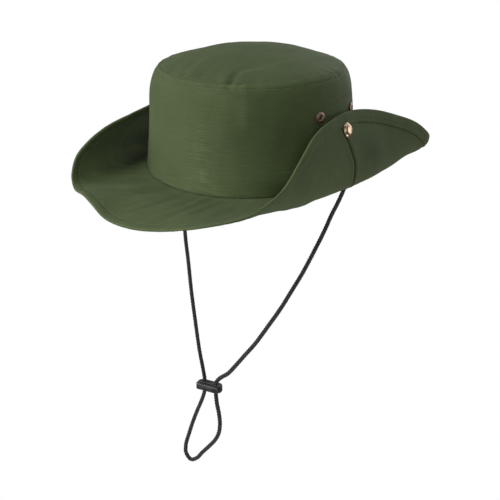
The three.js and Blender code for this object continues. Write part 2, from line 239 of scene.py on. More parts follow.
def laid_cord(centres):
    """A tube round the centres whose strands turn once in each lay, fatter where they have worked loose."""
    strands, radius = CORD["strands"], CORD["diameter"] / 2 + CORD["fibres"]
    bm = bmesh.new()
    around = strands * CORD["points_per_strand"]
    last = len(centres) - 1
    bmesh.ops.create_grid(bm, x_segments=around, y_segments=last, size=0.5)
    uv = bm.loops.layers.uv.new("UVMap")
    for face in bm.faces:
        for loop in face.loops:
            around_share, along_share = loop.vert.co.x + 0.5, loop.vert.co.y + 0.5
            loop[uv].uv = (around_share * strands, along_share * last * CORD["spacing"] * MM)
    rings = []
    side = Vector((0, 1, 0))
    for i, centre in enumerate(centres):
        along = (centres[min(i + 1, last)] - centres[max(i - 1, 0)]).normalized()
        side = (side - along * side.dot(along)).normalized()
        rings.append((centre, side, along.cross(side)))
    for vert in bm.verts:
        ring = round((vert.co.y + 0.5) * last)
        centre, side, up = rings[ring]
        turn = (vert.co.x + 0.5) * TAU
        reach = strand_radius(turn, strands, radius)
        at = ring * CORD["spacing"]
        unevenness = noise.noise(Vector((at * 0.14, math.cos(turn), math.sin(turn))))
        reach *= 1 + CORD["unevenness"] * unevenness
        reach *= 1 + SWELLING["share"] * hump(at - SWELLING["at"], SWELLING["reach"])
        turn += at / CORD["lay"] * TAU
        vert.co = (centre + (side * math.cos(turn) + up * math.sin(turn)) * reach) * MM
    bmesh.ops.remove_doubles(bm, verts=bm.verts, dist=0.0005 * MM)
    bmesh.ops.holes_fill(bm, edges=[edge for edge in bm.edges if edge.is_boundary], sides=0)
    return bm


cord_curve = smooth_route([Vector(point) for point in CORD_ROUTE], CORD["points_per_span"])
cord_lengths = running_lengths(cord_curve)
cord_centres = [
    cord_curve[i].lerp(cord_curve[i + 1], share) for i, share in even_steps(cord_lengths, CORD["spacing"])
]
chin_cord = add_piece(
    "chin_cord_rope", laid_cord(cord_centres), cord_material(), "hat", ["chin_cord"],
)

# Cord lock
# Two black plastic mouldings. The shell is a flat cup with two cord holes, and the button slides in its
# mouth on a spring. The button's holes are longer by its travel, so they clear the cord all the way.
LOCK = {"centre": Vector((-56.5, 18.6, -243.5)), "hole_pitch": 12.4, "hole": 4.0, "travel": 1.0, "edge": 0.6}
SHELL = {
    "length": 25, "front": -3.0, "back": 5.7, "height": 7.3,
    "round": "back", "corner": (6.4, 5.2), "taper": 0.24,
}
BUTTON = {
    "length": 24.4, "front": -7.3, "back": -4.8, "height": 7.1,
    "round": "front", "corner": (6.4, 2.2), "taper": 0.3,
}
POCKET = {"width": 18.6, "back": 4.5, "height": 4.9}
STEM = {"width": 18, "back": 3.2, "height": 4.3}
# How far the painted shade at the lock's slit reaches, in millimetres.
SLIT_PAINTED_SHADE = 0.8
BEVELLED_EDGE = math.radians(50)
SHADED_EDGE = math.radians(40)


def plastic_material():
    """Moulded black plastic: a fine spark-eroded grain, a few paler scuffs, and painted shade towards the
    slit between shell and button.
    """
    nodes = Nodes("black_moulded_plastic")
    grain = nodes.noise(nodes.coordinates((2600, 2600, 2600), uv=False), 3.0)
    scuffs = nodes.noise(nodes.coordinates((160, 160, 420), uv=False), 4.0)
    depth = nodes.add("SeparateXYZ", Vector=nodes.coordinates((1, 1, 1), uv=False)).outputs["Y"]
    # Painted shade: the colour darkens towards the slit between shell and button, where shade falls.
    slit = (LOCK["centre"].y + (SHELL["front"] + BUTTON["back"]) / 2) * MM
    from_slit = nodes.maths("ABSOLUTE", nodes.maths("SUBTRACT", depth, slit), 0.0)
    beyond_slit_shade = nodes.maths("MULTIPLY", from_slit, 0.5 / (SLIT_PAINTED_SHADE * MM))
    tone = nodes.maths("MULTIPLY", scuffs, nodes.maths("MINIMUM", nodes.maths("POWER", beyond_slit_shade, 2.0), 1.0))
    colour = nodes.ramp(tone, [
        (0.0, (0.003, 0.003, 0.003)), (0.4, (0.026, 0.026, 0.027)), (0.7, (0.06, 0.06, 0.061)),
    ])
    rough = nodes.maths("MULTIPLY_ADD", scuffs, 0.25, 0.36)
    return nodes.finish(Base_Color=colour, Roughness=rough, Normal=nodes.bump(grain, 0.35, 0.08 * MM))


def block(bm, width, front, back, height):
    """A block centred on X and Z that runs from front to back along Y."""
    middle = Matrix.Translation((0, (front + back) / 2, 0))
    bmesh.ops.create_cube(bm, size=1, matrix=middle @ Matrix.Diagonal((width, back - front, height, 1)))


def rounded(bm, edges, radius, segments):
    """Rounds some edges off."""
    bmesh.ops.bevel(
        bm, geom=edges, offset=radius, segments=segments, affect="EDGES", profile=0.5, offset_type="OFFSET",
        material=-1,
    )


def moulded_block(size):
    """A soft-edged block that thins towards one side, with the upright corners there rounded off."""
    bm = bmesh.new()
    block(bm, size["length"], size["front"], size["back"], size["height"])
    end = size[size["round"]]
    corner_x, corner_y = size["corner"]
    squeeze = corner_x / corner_y
    upright = [
        edge for edge in bm.edges
        if abs(edge.verts[0].co.z - edge.verts[1].co.z) > 1 and abs(edge.verts[0].co.y - end) < 0.01
    ]
    for vert in bm.verts:
        vert.co.y = end + (vert.co.y - end) * squeeze
    rounded(bm, upright, corner_x, 9)
    for vert in bm.verts:
        vert.co.y = end + (vert.co.y - end) / squeeze
    rounded(bm, [edge for edge in bm.edges if edge.calc_face_angle(0) > BEVELLED_EDGE], LOCK["edge"], 4)
    open_end = size["front"] + size["back"] - end
    for vert in bm.verts:
        vert.co.z *= 1 - size["taper"] * ((vert.co.y - open_end) / (end - open_end)) ** 2
    return bm


def drill(bm, slot):
    """Adds the two cord holes as cutters, drawn out towards the front by slot."""
    for side in (-1, 1):
        holes = bmesh.ops.create_cone(
            bm, segments=24, radius1=LOCK["hole"] / 2, radius2=LOCK["hole"] / 2, depth=20, cap_ends=True,
            matrix=Matrix.Translation((side * LOCK["hole_pitch"] / 2, 0, 0)),
        )["verts"]
        for vert in holes:
            if slot and vert.co.y < 0:
                vert.co.y -= slot


def combined(bm, joined, cut):
    """bm with some shapes joined on and others cut out of it."""
    pieces = []
    for part in (bm, *joined, *cut):
        bmesh.ops.recalc_face_normals(part, faces=part.faces)
        pieces.append(bpy.data.objects.new("work", as_mesh("work", part)))
        scene.collection.objects.link(pieces[-1])
    for i, other in enumerate(pieces[1:]):
        modifier = pieces[0].modifiers.new("combine", "BOOLEAN")
        modifier.operation = "UNION" if i < len(joined) else "DIFFERENCE"
        modifier.solver = "EXACT"
        modifier.object = other
    result = bmesh.new()
    result.from_object(pieces[0], bpy.context.evaluated_depsgraph_get())
    for piece in pieces:
        bpy.data.meshes.remove(piece.data)
    return result


def lock_piece(name, bm, body, node):
    """Sets a moulding, in millimetres about the lock's centre, in its place and adds it."""
    bmesh.ops.transform(bm, verts=bm.verts, matrix=Matrix.Scale(MM, 4) @ Matrix.Translation(LOCK["centre"]))
    piece = add_piece(name, bm, black_plastic, body, [node])
    piece.data.set_sharp_from_angle(angle=SHADED_EDGE)
    return piece


black_plastic = plastic_material()
pocket = bmesh.new()
block(pocket, POCKET["width"], SHELL["front"] - 1, POCKET["back"], POCKET["height"])
shell_holes = bmesh.new()
drill(shell_holes, 0)
lock_shell = lock_piece(
    "cord_lock_shell_moulding", combined(moulded_block(SHELL), [], [pocket, shell_holes]),
    "hat", "cord_lock_shell",
)
stem = bmesh.new()
block(stem, STEM["width"], BUTTON["back"] - 1, STEM["back"], STEM["height"])
button_holes = bmesh.new()
drill(button_holes, LOCK["travel"])
lock_button = lock_piece(
    "cord_lock_button_moulding", combined(moulded_block(BUTTON), [stem], [button_holes]),
    "lock_button", "cord_lock_button",
)

# Crown tip
# The flat top of the crown: one oval of olive canvas, sewn to the side panel with its turnings inside. It
# sags towards the back, and the seam draws small puckers and a few soft creases into it at the front.
HEAD = {"half_length": 95, "half_width": 90, "length_inset": 1.08, "width_inset": 0.96}
CLOTH = 1.6
CROWN = {"middle": 103, "sag_back": 13.5, "sag_right": 3.5, "seam_gap": 0.35}
WallRow = namedtuple("WallRow", "inset height sag")
WALL_ROWS = [
    WallRow(0, 0.3, 0),
    WallRow(0.8, 20, 0.1),
    WallRow(2.0, 45, 0.3),
    WallRow(3.2, 68, 0.6),
    WallRow(4.6, 80, 0.85),
    WallRow(7.4, 89.5, 0.96),
    WallRow(12.0, 95.5, 1.0),
]
wall_lengths = [0.0]
for lower, upper in zip(WALL_ROWS, WALL_ROWS[1:]):
    wall_lengths.append(wall_lengths[-1] + math.hypot(upper.inset - lower.inset, upper.height - lower.height))
WALL_TOP = wall_lengths[-1]


def oval_point(turn, inset, z=0.0):
    """A point on the oval of the head, at a turn from the front and drawn in by an inset."""
    across = HEAD["half_width"] - HEAD["width_inset"] * inset
    forward = HEAD["half_length"] - HEAD["length_inset"] * inset
    return Vector((across * math.sin(turn), -forward * math.cos(turn), z))


def sag(turn):
    """How far the tip seam sags at a turn."""
    return CROWN["sag_back"] * ((1 - math.cos(turn)) / 2) ** 1.1 - CROWN["sag_right"] * math.sin(turn)


def hermite(before, start, end, after, spans, t):
    """A smooth value between start and end, given the values either side and the three spans' lengths."""
    leave = (end - before) * (spans[1] / (spans[0] + spans[1]))
    arrive = (after - start) * (spans[1] / (spans[1] + spans[2]))
    return (
        start * (2 * t**3 - 3 * t**2 + 1) + leave * (t**3 - 2 * t**2 + t)
        + end * (3 * t**2 - 2 * t**3) + arrive * (t**3 - t**2)
    )


@lru_cache(maxsize=None)
def wall_row(along):
    """The wall's inset, height and share of the sag, that far up the cloth from the foot."""
    last = len(WALL_ROWS) - 1
    row = max(k for k in range(last) if wall_lengths[k] <= max(along, 0))
    spans = [wall_lengths[k + 1] - wall_lengths[k] for k in (max(row - 1, 0), row, min(row + 1, last - 1))]
    t = (along - wall_lengths[row]) / spans[1]
    rows = [WALL_ROWS[min(max(k, 0), last)] for k in (row - 1, row, row + 1, row + 2)]
    return [hermite(*(getattr(r, name) for r in rows), spans, t) for name in ("inset", "height", "sag")]


def wall_point(turn, along):
    """The crown wall's outer face."""
    inset, height, share = wall_row(along)
    return oval_point(turn, inset, height - share * sag(turn))


@lru_cache(maxsize=None)
def tip_point(turn, out):
    """The tip's upper face; out runs from 0 in the middle to 1 at the seam."""
    seam = wall_point(turn, WALL_TOP)
    reach = out * (1 - CROWN["seam_gap"] / HEAD["half_width"])
    return Vector((seam.x * reach, seam.y * reach, CROWN["middle"] + (seam.z - CROWN["middle"]) * out * out))


def wrinkle(turn, scale, seed):
    """Noise round the head, from about -1 to 1, that closes on itself."""
    return noise.noise(Vector((math.sin(turn) * scale, math.cos(turn) * scale, seed))) * 1.4


def spun(profile, turns, place, flat, shade):
    """A closed profile of (along, lift) swept round the head. place gives each point, flat its place on the
    uncut cloth in metres, and shade how much painted light (above 0) or painted shade (below 0) it carries."""
    bm = bmesh.new()
    count, steps, reach = len(profile), len(turns), 10
    ring = bmesh.ops.create_circle(bm, segments=count, radius=1)["verts"]
    for i, vert in enumerate(ring):
        vert.co = (reach + math.cos(TAU * i / count), 0, math.sin(TAU * i / count))
    bmesh.ops.spin(bm, geom=bm.verts[:] + bm.edges[:], axis=(0, 0, 1), angle=TAU, steps=steps, use_merge=True)
    uv = bm.loops.layers.uv.new("UVMap")
    shade_layer = bm.verts.layers.float.new("shade")
    spot = {}
    for vert in bm.verts:
        step = round(math.atan2(vert.co.y, vert.co.x) / TAU * steps) % steps
        row = round(math.atan2(vert.co.z, math.hypot(vert.co.x, vert.co.y) - reach) / TAU * count) % count
        spot[vert] = (step, *profile[row])
        vert.co = place(turns[step], *profile[row]) * MM
        vert[shade_layer] = shade(turns[step], *profile[row])
    for face in bm.faces:
        face_steps = [spot[vert][0] for vert in face.verts]
        wraps = max(face_steps) - min(face_steps) > steps / 2
        for loop in face.loops:
            step, along, _ = spot[loop.vert]
            turn = turns[step] + (TAU if wraps and step < steps / 2 else 0)
            loop[uv].uv = flat(turn, along)
    return bm


def close_poles(bm, distance):
    """Merges the points where a spun profile meets its axis, and drops the loose edges left there."""
    bmesh.ops.remove_doubles(bm, verts=bm.verts, dist=distance)
    bmesh.ops.delete(bm, geom=[edge for edge in bm.edges if not edge.link_faces], context="EDGES")


THREADS = {"weft": 0.62, "warp": 0.55}


def canvas_material(name):
    """Tightly woven olive cotton: warp and weft threads with a few thicker slubs, slightly uneven dye, and
    painted light and shade: paler on raised turnings and edges, darker in seams, folds and shaded patches."""
    nodes = Nodes(name)
    threads = nodes.coordinates((1, 1, 1))
    slubs = nodes.noise(nodes.coordinates((55, 1100, 1)), 3.0)
    cross_slubs = nodes.noise(nodes.coordinates((1300, 80, 1)), 2.0)
    weft = nodes.stripes(threads, "Y", THREADS["weft"] * MM)
    warp = nodes.stripes(threads, "X", THREADS["warp"] * MM)
    weave = nodes.maths("MULTIPLY", weft, warp)
    dye = nodes.noise(nodes.coordinates((26, 26, 26), uv=False), 2.0)
    # Painted light and shade, carried by each piece's shade attribute.
    painted_shading = nodes.add("Attribute", {"attribute_name": "shade"}).outputs["Fac"]
    yarn = nodes.maths("MULTIPLY_ADD", slubs, 0.65, nodes.maths("MULTIPLY", cross_slubs, 0.25))
    tone = nodes.maths("MULTIPLY_ADD", dye, 0.35, yarn)
    tone = nodes.maths("MULTIPLY_ADD", weave, 0.12, tone)
    tone = nodes.maths("MULTIPLY_ADD", painted_shading, 0.5, tone)
    colour = nodes.ramp(tone, [
        (0.17, (0.019, 0.028, 0.0065)), (0.52, (0.043, 0.063, 0.0175)),
        (0.8, (0.058, 0.082, 0.026)), (1.0, (0.10, 0.135, 0.06)),
    ])
    height = nodes.maths("MULTIPLY_ADD", weave, 0.5, yarn)
    normal = nodes.bump(height, 0.5, 0.18 * MM)
    return nodes.finish(
        Base_Color=colour, Roughness=0.9, Normal=normal, Sheen_Weight=0.02, Sheen_Roughness=0.5,
        Sheen_Tint=(0.8, 0.85, 0.7, 1), Specular_IOR_Level=0.5,
    )


TIP_REACH = 83
Crease = namedtuple("Crease", "width lift line")
TIP_CREASES = [
    Crease(6, -1.9, [(25, -79), (23.5, -72), (20.5, -62), (18.5, -54), (20, -45), (28, -37.5)]),
    Crease(7, 0.8, [(32, -75), (29.5, -68), (27, -60), (26, -54), (30, -47)]),
    Crease(13, -1.0, [(24, -36), (31, -23)]),
    Crease(6, -0.8, [(-22, -75), (-31, -34)]),
    Crease(7, 0.7, [(-16, -75), (-23, -40)]),
    Crease(6, -0.5, [(-5, -77), (-9, -48)]),
    Crease(6, -0.6, [(10, -76), (0, -45)]),
    Crease(7, -0.6, [(-40, -64), (-46, -34)]),
]
CREASE_FADES = 0.6
TIP_SHADOW = Crease(4, -0.6, [(24, -78), (24.5, -72), (19.5, -64.5), (18.5, -57.5), (20.5, -49.5), (27, -42)])
PUCKER_SIZE = {"radius": 80, "width": 3.2}
Pucker = namedtuple("Pucker", "turn depth")
PUCKERS = [
    Pucker(-31, 0.8), Pucker(-12, 0.7), Pucker(8, 0.9), Pucker(11.5, 1.3), Pucker(19, 1.8), Pucker(25, 0.6),
    Pucker(33, 0.9), Pucker(36, 0.7), Pucker(42.8, 1.0), Pucker(61, 0.8), Pucker(97, 1), Pucker(140, 0.8),
    Pucker(171, 1), Pucker(203, 0.9), Pucker(250, 1), Pucker(288, 0.8),
]


def creased(point, crease):
    """How far a crease along a bent line lifts the cloth at a point, less and less towards the line's end."""
    line = [Vector(corner) for corner in crease.line]
    nearest, share = math.inf, 0.0
    for i, (start, end) in enumerate(zip(line, line[1:])):
        along = min(max((point - start).dot(end - start) / (end - start).length_squared, 0), 1)
        distance = (point - start.lerp(end, along)).length
        if distance < nearest:
            nearest, share = distance, (i + along) / (len(line) - 1)
    return crease.lift * hump(nearest, crease.width) * (1 - CREASE_FADES * share)


def away_from(turn, middle):
    """How far round the head a turn is from a middle one, by the shorter way."""
    return (turn - middle + math.pi) % TAU - math.pi


def puckered(turn):
    """How deep the seam's small puckers are at a turn, from 0 to about 2."""
    total = 0.0
    for pucker in PUCKERS:
        away = away_from(turn, math.radians(pucker.turn)) * PUCKER_SIZE["radius"]
        total += pucker.depth * hump(away, PUCKER_SIZE["width"])
    return total


def tip_relief(turn, out):
    """How far soft waves, puckers and creases lift the tip off its plain shape."""
    point = tip_point(turn, out)
    from_edge = (1 - out) * TIP_REACH
    near_seam = hump(from_edge, 16)
    relief = 0.9 * noise.noise(Vector((point.x, point.y, 0)) * 0.03 + Vector((5, 2, 1)))
    relief += 0.4 * noise.noise(Vector((point.x * 0.11, point.y * 0.05, 7)))
    relief += 0.45 * wrinkle(turn, 9, 0.5) * near_seam + 0.25 * wrinkle(turn, 24, 4.5) * near_seam
    relief -= 0.5 * hump(from_edge, 1.8) + 0.6 * puckered(turn) * hump(from_edge - 3, 5)
    return relief * min(1, (1 - out) * 60 + 0.3) + sum(creased(point.xy, crease) for crease in TIP_CREASES)


def tip_shade(turn, out, lift):
    """Paler along the seam's turnings, with painted shade in the seam, at its left front and in the main
    crease.
    """
    from_edge = (1 - out) * TIP_REACH
    # Paler on the turnings beside the seam, and painted shade in the seam itself.
    shade = 0.15 * hump(from_edge - 2, 1.8) - 0.5 * hump(from_edge, 1.0)
    # Painted shade on the tip's left front shoulder, which slopes away from the light.
    shade -= 0.25 * hump(turn - math.radians(55), math.radians(35)) * hump(from_edge - 6, 7)
    return shade + (creased(tip_point(turn, out).xy, TIP_SHADOW) if lift == 0 else 0)


def tip_place(turn, out, lift):
    """Where a point of the tip's cloth is; lift is 0 on its upper face and below 0 inside."""
    return tip_point(turn, out) + Vector((0, 0, lift + tip_relief(turn, out)))


TIP_OUTS = [0.0] + [k / 26 for k in range(1, 23)] + [0.875, 0.9, 0.92, 0.94, 0.955, 0.968, 0.98, 0.988, 0.994]
tip_profile = [(out * 0.97, -CLOTH) for out in TIP_OUTS] + [(0.985, -1.3), (1.0, -0.9), (0.999, -0.4)]
tip_profile += [(out, 0) for out in reversed(TIP_OUTS)]
even_turns = [TAU * k / 320 for k in range(320)]
canvas = canvas_material("olive_canvas")
tip_bm = spun(
    tip_profile, even_turns, tip_place,
    lambda turn, out: tuple(tip_point(turn, out).xy * MM), tip_shade,
)
close_poles(tip_bm, 0.001 * MM)
add_piece("crown_tip_panel", tip_bm, canvas, "hat", ["crown_tip"])

# Crown side
# One band of canvas round the head, joined to the tip by a seam whose turnings are pressed down and
# topstitched, and to the brim by a seam at its foot. It stands almost straight and folds softly in front.
CLOTH_RADIUS = 92
WALL_STEPS = [0.4, 1.2, 2.4, 4, 6, 9] + [12 + 3 * k for k in range(22)]
WALL_STEPS += [77.5, 80, 82.5, 85, 87, 88.6, 89.8, 90.6, 91.2, 91.8, 92.6, 93.8, 95, 96, 96.7, 97.1]
TIP_STITCH_LINE = WALL_TOP - 5.6
FRONT_RIDGE = {"turn": math.radians(29), "reach": 8, "lift": 1.1, "from": 45, "to": 85}
Patch = namedtuple("Patch", "turn along reach rise amount")
# Soft patches of painted light (amount above 0) and painted shade (below 0) on the wall's colour.
WALL_PATCHES = [
    Patch(27, WALL_TOP - 9, 12, 3.5, -0.3), Patch(40, 84, 12, 8, -0.3), Patch(10, 12, 32, 24, 0.2),
    Patch(52, 18, 12, 15, 0.45), Patch(50, 50, 24, 42, -0.42), Patch(-36, 76, 12, 20, -0.2),
    Patch(116, 60, 12, 60, -0.5), Patch(0, 40, 18, 45, 0.18),
]


def wall_relief(turn, along):
    """How far soft waves, puckers, the seam and the front ridge lift the wall off its plain shape."""
    below_seam = WALL_TOP - along
    relief = 0.9 * wrinkle(turn, 2.2, along * 0.02) + 0.3 * wrinkle(turn, 7, 9 + along * 0.03)
    relief *= hump(along - 50, 90)
    relief += 0.35 * wrinkle(turn, 22, 3) * hump(below_seam, 9) + 0.3 * wrinkle(turn, 26, 7) * hump(along, 8)
    relief += 0.35 * hump(below_seam - 3.2, 4.0) - 0.35 * hump(below_seam - 5.6, 1.0)
    relief -= 0.5 * hump(below_seam, 1.5) + 0.05 * hump(along, 1.6)
    relief -= 0.5 * puckered(turn) * hump(below_seam - 3, 5)
    relief += 0.8 * hump(turn - FRONT_RIDGE["turn"] - 0.07, 0.6) * hump(below_seam - 4.5, 6)
    away = math.hypot((turn - FRONT_RIDGE["turn"]) * HEAD["half_width"], 1) / FRONT_RIDGE["reach"]
    height = min(max((along - FRONT_RIDGE["from"]) / (FRONT_RIDGE["to"] - FRONT_RIDGE["from"]), 0), 1)
    return relief + FRONT_RIDGE["lift"] * height * math.exp(-away)


def patched(patches, turn, along):
    """What soft-edged patches of painted light and shade, or of form, add up to at a place on the cloth."""
    total = 0.0
    for patch in patches:
        away = away_from(turn, math.radians(patch.turn))
        total += patch.amount * hump(away, math.radians(patch.reach)) * hump(along - patch.along, patch.rise)
    return total


def wall_shade(turn, along, lift):
    """Painted light on the turnings and above the foot, painted shade in the stitched groove and at the foot.
    """
    below_seam = WALL_TOP - along
    # Painted highlight on the raised turnings under the seam, and painted shade in the stitched groove.
    shade = 0.1 * hump(below_seam - 1.6, 1.6) - 0.4 * hump(along - TIP_STITCH_LINE, 1.1)
    # Painted light just above the foot, and painted shade in the corner at the foot.
    shade += 0.15 * hump(along - 5, 6) - 0.9 * hump(along, 1.1)
    return shade + patched(WALL_PATCHES, turn, along)


def over(surface, turn, along, lift=0.0):
    """A point lifted off a surface, away from the head and to the brim's underside, with the normal there."""
    around = surface(turn + 0.002, along) - surface(turn - 0.002, along)
    outward = surface(turn, along + 0.1) - surface(turn, along - 0.1)
    normal = around.cross(outward).normalized()
    return surface(turn, along) + normal * lift, normal


def wall_place(turn, along, lift):
    """Where a point of the wall's cloth is; lift is 0 on its outer face and below 0 inside."""
    return over(wall_point, turn, min(along, WALL_TOP - 0.2), lift + wall_relief(turn, along))[0]


wall_profile = [(along, 0) for along in WALL_STEPS] + [(WALL_TOP - 0.1, -0.35), (WALL_TOP - 0.1, -1.2)]
wall_profile += [(along, -CLOTH) for along in reversed(WALL_STEPS[::2])]
wall_profile += [(-1.0, -1.3), (-1.3, -0.8), (-0.8, -0.3)]
wall_bm = spun(
    wall_profile, even_turns, wall_place,
    lambda turn, along: (turn * CLOTH_RADIUS * MM, along * MM), wall_shade,
)
add_piece("crown_side_panel", wall_bm, canvas, "hat", ["crown_side"])


def thread_material():
    """Olive sewing thread, a shade paler and glossier than the cloth."""
    nodes = Nodes("olive_thread")
    twist = nodes.noise(nodes.coordinates((900, 900, 900), uv=False), 2.0)
    colour = nodes.ramp(twist, [(0.3, (0.058, 0.078, 0.034)), (0.7, (0.11, 0.138, 0.075))])
    return nodes.finish(Base_Color=colour, Roughness=0.6, Normal=nodes.bump(twist, 0.4, 0.05 * MM))


STITCH = {"pitch": 3.2, "length": 2.5, "width": 0.55, "height": 0.4}
SEAM_SAMPLES = 1440
thread = thread_material()
stitch_bm = bmesh.new()
size = Matrix.Diagonal((STITCH["length"], STITCH["width"], STITCH["height"], 1))
bmesh.ops.create_uvsphere(stitch_bm, u_segments=8, v_segments=4, radius=0.5, matrix=size)
stitch_mesh = as_mesh("stitch", stitch_bm)


def sew(name, seam_point):
    """A row of stitches along a closed seam; seam_point gives its point and the normal there at a turn."""
    spots = [seam_point(TAU * k / SEAM_SAMPLES) for k in range(SEAM_SAMPLES + 1)]
    steps = list(even_steps(running_lengths([point for point, _ in spots]), STITCH["pitch"]))
    bm = bmesh.new()
    for i, share in steps[:-1]:
        (a, normal), (b, _) = spots[i], spots[i + 1]
        along = (b - a).normalized()
        side = normal.cross(along).normalized()
        axes = Matrix((along, side, along.cross(side))).transposed().to_4x4()
        one = stitch_mesh.copy()
        one.transform(Matrix.Scale(MM, 4) @ Matrix.Translation(a.lerp(b, share)) @ axes)
        bm.from_mesh(one)
        bpy.data.meshes.remove(one)
    return add_piece(name, bm, thread, "hat")


sew("tip_seam_stitches", lambda turn: over(
    wall_point, turn, TIP_STITCH_LINE, wall_relief(turn, TIP_STITCH_LINE) + 0.1
))

# Eyelets
# Four pressed copper rings, two on each side of the crown, set in the cloth from outside with a washer
# inside.
EYELET = {"hole": 2.1, "barrel": 2.7, "flange": 4.9, "washer": 3.8, "angle": 17, "height": 59.2, "rise": 3.3}


def metal_material(name, dark, light, roughness, grain):
    """Plated metal: brushed unevenly, darker in the hollows of its patina."""
    nodes = Nodes(name)
    patina = nodes.noise(nodes.coordinates((700, 700, 700), uv=False), 4.0)
    scratches = nodes.noise(nodes.coordinates((2400, 2400, 900), uv=False), 3.0)
    colour = nodes.ramp(patina, [(0.3, dark), (0.65, light)])
    rough = nodes.maths("MULTIPLY_ADD", patina, 0.25, roughness)
    normal = nodes.bump(scratches, grain, 0.03 * MM)
    return nodes.finish(Base_Color=colour, Metallic=1.0, Roughness=rough, Normal=normal)


def turned(profile, sides, matrix):
    """A profile of (radius, height) spun round Z and set in place by a matrix, in metres."""
    bm = bmesh.new()
    ring = bmesh.ops.create_circle(bm, segments=len(profile), radius=1)["verts"]
    for vert, (radius, height) in zip(ring, profile):
        vert.co = (radius, 0, height)
    bmesh.ops.spin(bm, geom=bm.verts[:] + bm.edges[:], axis=(0, 0, 1), angle=TAU, steps=sides, use_merge=True)
    close_poles(bm, 0.001)
    bmesh.ops.transform(bm, verts=bm.verts, matrix=Matrix.Scale(MM, 4) @ matrix)
    return bm


def standing(point, normal):
    """Z turned to the normal, at the point."""
    return Matrix.Translation(point) @ Vector((0, 0, 1)).rotation_difference(normal).to_matrix().to_4x4()


def along_at_height(turn, height):
    """How far up the wall's cloth a height is reached."""
    low, high = 0.0, WALL_TOP
    for _ in range(30):
        middle = (low + high) / 2
        if wall_point(turn, middle).z > height:
            high = middle
        else:
            low = middle
    return low


def arc(centre, radius, start, end, steps):
    """Points on an arc, from one angle to another in degrees."""
    angles = [math.radians(start + (end - start) * k / steps) for k in range(steps + 1)]
    return [(centre[0] + radius * math.cos(a), centre[1] + radius * math.sin(a)) for a in angles]


copper = metal_material("antique_copper", (0.22, 0.125, 0.095), (0.42, 0.27, 0.215), 0.42, 0.25)
inner_face = -CLOTH - 0.45
hole, barrel, flange = EYELET["hole"], EYELET["barrel"], EYELET["flange"]
eyelet_profile = [(hole, inner_face - 0.3)]
eyelet_profile += arc((EYELET["washer"] - 0.35, inner_face - 0.3), 0.35, -90, 90, 4)
eyelet_profile += [(barrel, inner_face), (barrel, 0.45), (flange - 0.3, 0.45)]
eyelet_profile += arc((flange - 0.45, 0.85), 0.45, -60, 90, 5)
eyelet_profile += arc((hole + 0.75, 0.85), 0.75, 90, 180, 6)
for side_name, side in (("right", -1), ("left", 1)):
    for end_name, end in (("front", -1), ("rear", 1)):
        turn = side * math.radians(90 + EYELET["angle"] * end)
        height = EYELET["height"] - EYELET["rise"] * end
        seat, normal = over(wall_point, turn, along_at_height(turn, height))
        add_piece(
            f"eyelet_ring_{side_name}_{end_name}", turned(eyelet_profile, 40, standing(seat, normal)), copper,
            "hat", [f"eyelet_{side_name}_{end_name}"],
        )

# Brim
# Two layers of canvas in a front and a back half, joined by a seam at each side of the head. The edge is
# turned to the underside in a wide hem and stitched, and both sides are turned up against the crown.
BRIM = {"width": 73, "thickness": 1.9, "hem_width": 11, "hem_extra": 0.7, "bend": 0.72}
BrimLine = namedtuple("BrimLine", "turn edge fold")
BRIM_LINES = [BrimLine(*row) for row in (
    (0, (0, -166, -10), (0, -130, -3)),
    (12, (32, -163, -4), (26, -128, -2)),
    (22, (61, -154, 4), (47, -122, -3)),
    (31, (81, -142, 11), (64, -116, -4)),
    (38, (89, -127, 17), (79, -110, -5)),
    (46, (93, -105, 25), (91, -98, -7)),
    (56, (94, -80, 42), (102, -77, -10)),
    (66, (93, -55, 56), (107, -54, -10)),
    (78, (92, -22, 61), (112, -22, -12)),
    (90, (91, 12, 59), (115, 9, -15)),
    (102, (94, 48, 50), (117, 41, -17)),
    (114, (99, 78, 38), (119, 72, -17)),
    (126, (106, 109, 22.5), (119, 102, -14)),
    (135, (110, 126, 7), (113, 118, -11)),
    (145, (92, 141, -3), (82, 118, -5)),
    (160, (56, 157, -9), (44, 125, -2)),
    (180, (0, 166, -10), (0, 130, -2)),
    (200, (-56, 157, -9), (-44, 125, -2)),
    (214, (-90, 141, -6), (-75, 118, -3)),
    (225, (-107, 122, 8), (-104, 114, -5)),
    (237, (-103, 98, 27), (-112, 88, -8)),
    (252, (-96, 60, 38), (-117, 50, -11)),
    (270, (-92, 10, 41), (-121, 4, -14)),
    (286, (-93.5, -40, 40), (-121, -36, -12)),
    (300, (-98, -84, 36.5), (-116, -72, -9)),
    (311, (-104, -113, 22.5), (-110, -98, -7)),
    (318, (-106, -121.5, 5.5), (-103, -106, -9)),
    (323, (-103, -124.5, -5), (-90, -110, -7)),
    (328, (-87, -135, -4), (-73, -115, -4)),
    (334, (-68, -150, -3), (-54, -121, -2)),
    (341, (-50, -158, -10), (-40, -125, -3)),
    (350, (-27, -164, -12), (-22, -129, -3)),
)]
BRIM_SAMPLES = 48


